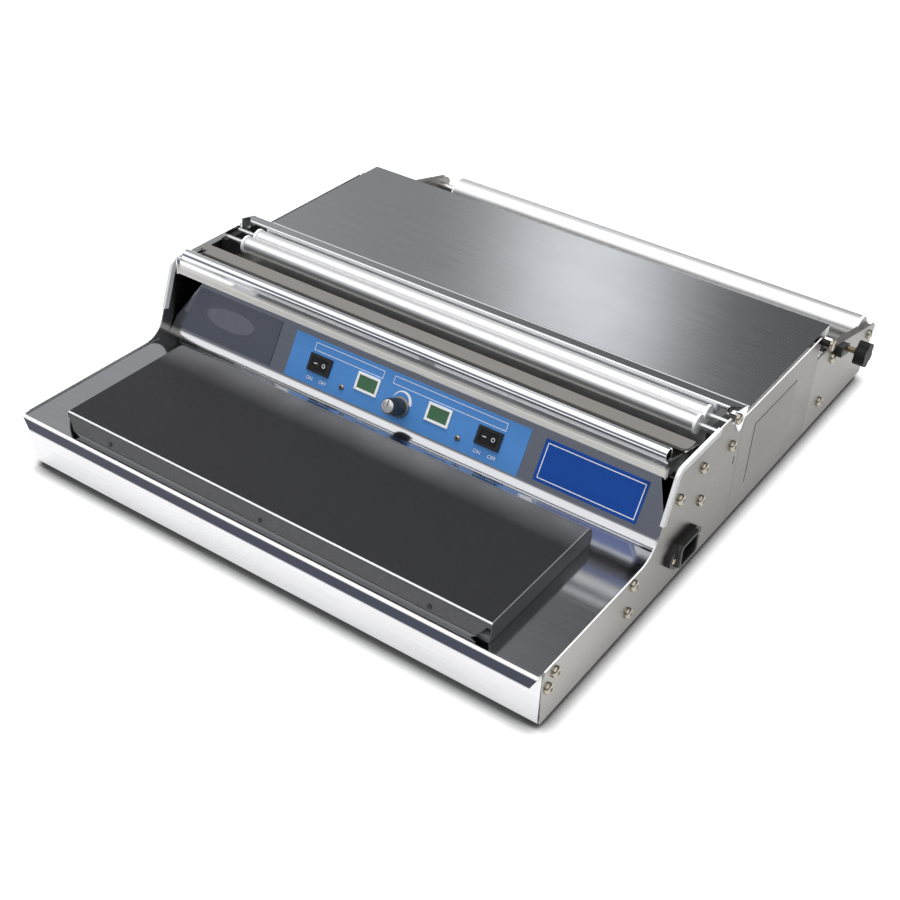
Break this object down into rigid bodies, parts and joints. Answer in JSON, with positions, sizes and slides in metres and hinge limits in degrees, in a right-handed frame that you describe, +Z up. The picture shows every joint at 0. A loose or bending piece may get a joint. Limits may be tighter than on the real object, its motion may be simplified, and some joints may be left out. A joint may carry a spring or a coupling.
{
  "type": "film wrapping machine",
  "caption": "Table-top hand wrapper for cling film: low steel body, heated front plate, sloped control panel, heated cutting strip, guide rollers and a hinged cover before an open film cradle.",
  "frame": {"origin": "middle of the footprint box, on the surface that the feet stand on", "axes": "+X to the machine's right as its user sees it from the front, +Y from the front lip to the rear roller, +Z up"},
  "size_m": [0.5138, 0.588, 0.135],
  "materials": {
    "zinc_steel": "zinc plated sheet",
    "bright_steel": "bright rolled stainless steel",
    "brushed_steel": "brushed along the width",
    "side_steel": "satin",
    "cover_steel": "brushed along the width",
    "polished_steel": "mirror polished",
    "white_plastic": "satin",
    "ptfe_taupe": "coated glass cloth",
    "heater_alloy": "dull",
    "black_plastic": "satin",
    "roller_aluminium": "satin turned",
    "nickel": "nickel plated",
    "ptfe_black": "fine grained non-stick coat",
    "fibre_board": "pressed fibre",
    "dark_steel": "satin",
    "blue_label": "printed film",
    "navy_label": "printed film",
    "slate_plate": "satin film",
    "silver_foil": "bare foil",
    "rocker_black": "gloss",
    "green_lens": "translucent",
    "knob_grey": "fluted",
    "brass_metal": "dull",
    "rubber_black": "moulded",
    "transformer_iron": "varnished laminations",
    "green_board": "lacquered"
  },
  "bodies": {
    "machine": {"base_pan": "zinc_steel", "front_panel": "bright_steel", "deck_panel": "brushed_steel", "side_plate_left": "side_steel", "side_plate_right": "side_steel", "side_cover_left": "side_steel", "side_cover_right": "side_steel", "rear_side_left": "side_steel", "rear_side_right": "side_steel", "edge_trims": "white_plastic", "roller_shelf": "zinc_steel", "hood": "polished_steel", "hood_brackets": "polished_steel", "cutter_strip": "ptfe_taupe", "heater_ribbon": "heater_alloy", "cutter_bar": "black_plastic", "cutter_terminals": "black_plastic", "front_roller_blocks": "black_plastic", "front_roller_shafts": "bright_steel", "cradle_shafts": "bright_steel", "cross_strip": "polished_steel", "cover_posts": "zinc_steel", "shoulder_screws": "nickel", "rear_brackets": "side_steel", "hot_plate_skin": "ptfe_black", "heating_element": "heater_alloy", "insulation_board": "fibre_board", "hot_plate_frame": "dark_steel", "small_screws": "nickel", "control_label": "blue_label", "right_label": "navy_label", "left_plate": "slate_plate", "oval_plate": "silver_foil", "rating_plate": "silver_foil", "rocker_housings": "black_plastic", "window_bezels": "white_plastic", "window_lenses": "green_lens", "dial_body": "zinc_steel", "inlet_body": "black_plastic", "inlet_pins": "brass_metal", "stud_block": "black_plastic", "side_screws": "nickel", "feet": "rubber_black", "transformer": "transformer_iron", "control_board": "green_board"},
    "front_roller_a": {"front_roller_a_tube": "roller_aluminium", "front_roller_a_caps": "white_plastic"},
    "front_roller_b": {"front_roller_b_tube": "roller_aluminium", "front_roller_b_caps": "white_plastic"},
    "rear_roller": {"rear_roller_tube": "roller_aluminium", "rear_roller_caps": "white_plastic"},
    "cradle_roller": {"cradle_roller_tube": "roller_aluminium"},
    "cover": {"cover_plate": "cover_steel"},
    "left_rocker": {"rocker_left": "rocker_black"},
    "right_rocker": {"rocker_right": "rocker_black"},
    "dial": {"temp_knob": "knob_grey", "knob_cap": "silver_foil"},
    "clamp": {"star_knob": "rocker_black", "knob_stud": "brass_metal"}
  },
  "joints": [
    {"name": "front_roller_a_spin", "type": "hinge", "parent": "machine", "child": "front_roller_a", "pos_m": [-0.01015, -0.051, 0.115], "axis": [1, 0, 0], "continuous": true},
    {"name": "front_roller_b_spin", "type": "hinge", "parent": "machine", "child": "front_roller_b", "pos_m": [-0.01015, -0.035, 0.115], "axis": [1, 0, 0], "continuous": true},
    {"name": "rear_roller_spin", "type": "hinge", "parent": "machine", "child": "rear_roller", "pos_m": [-0.01015, 0.279, 0.045], "axis": [1, 0, 0], "continuous": true},
    {"name": "cradle_roller_spin", "type": "hinge", "parent": "machine", "child": "cradle_roller", "pos_m": [-0.01015, 0.193, 0.045], "axis": [1, 0, 0], "continuous": true},
    {"name": "cover_swing", "type": "hinge", "parent": "machine", "child": "cover", "pos_m": [-0.01015, 0.146, 0.1], "axis": [-1, 0, 0], "range_deg": [0, 88]},
    {"name": "left_rocker_press", "type": "hinge", "parent": "machine", "child": "left_rocker", "pos_m": [-0.09335, -0.11505, 0.07531], "axis": [0, 0.5, 0.866], "range_deg": [-14, 0]},
    {"name": "right_rocker_press", "type": "hinge", "parent": "machine", "child": "right_rocker", "pos_m": [0.07305, -0.11505, 0.07531], "axis": [0, 0.5, 0.866], "range_deg": [-14, 0]},
    {"name": "dial_turn", "type": "hinge", "parent": "machine", "child": "dial", "pos_m": [-0.01015, -0.1227, 0.07326], "axis": [0, -0.866, 0.5], "range_deg": [-270, 0]},
    {"name": "clamp_turn", "type": "hinge", "parent": "machine", "child": "clamp", "pos_m": [0.25185, 0.203, 0.0685], "axis": [1, 0, 0], "range_deg": [0, 360]}
  ]
}
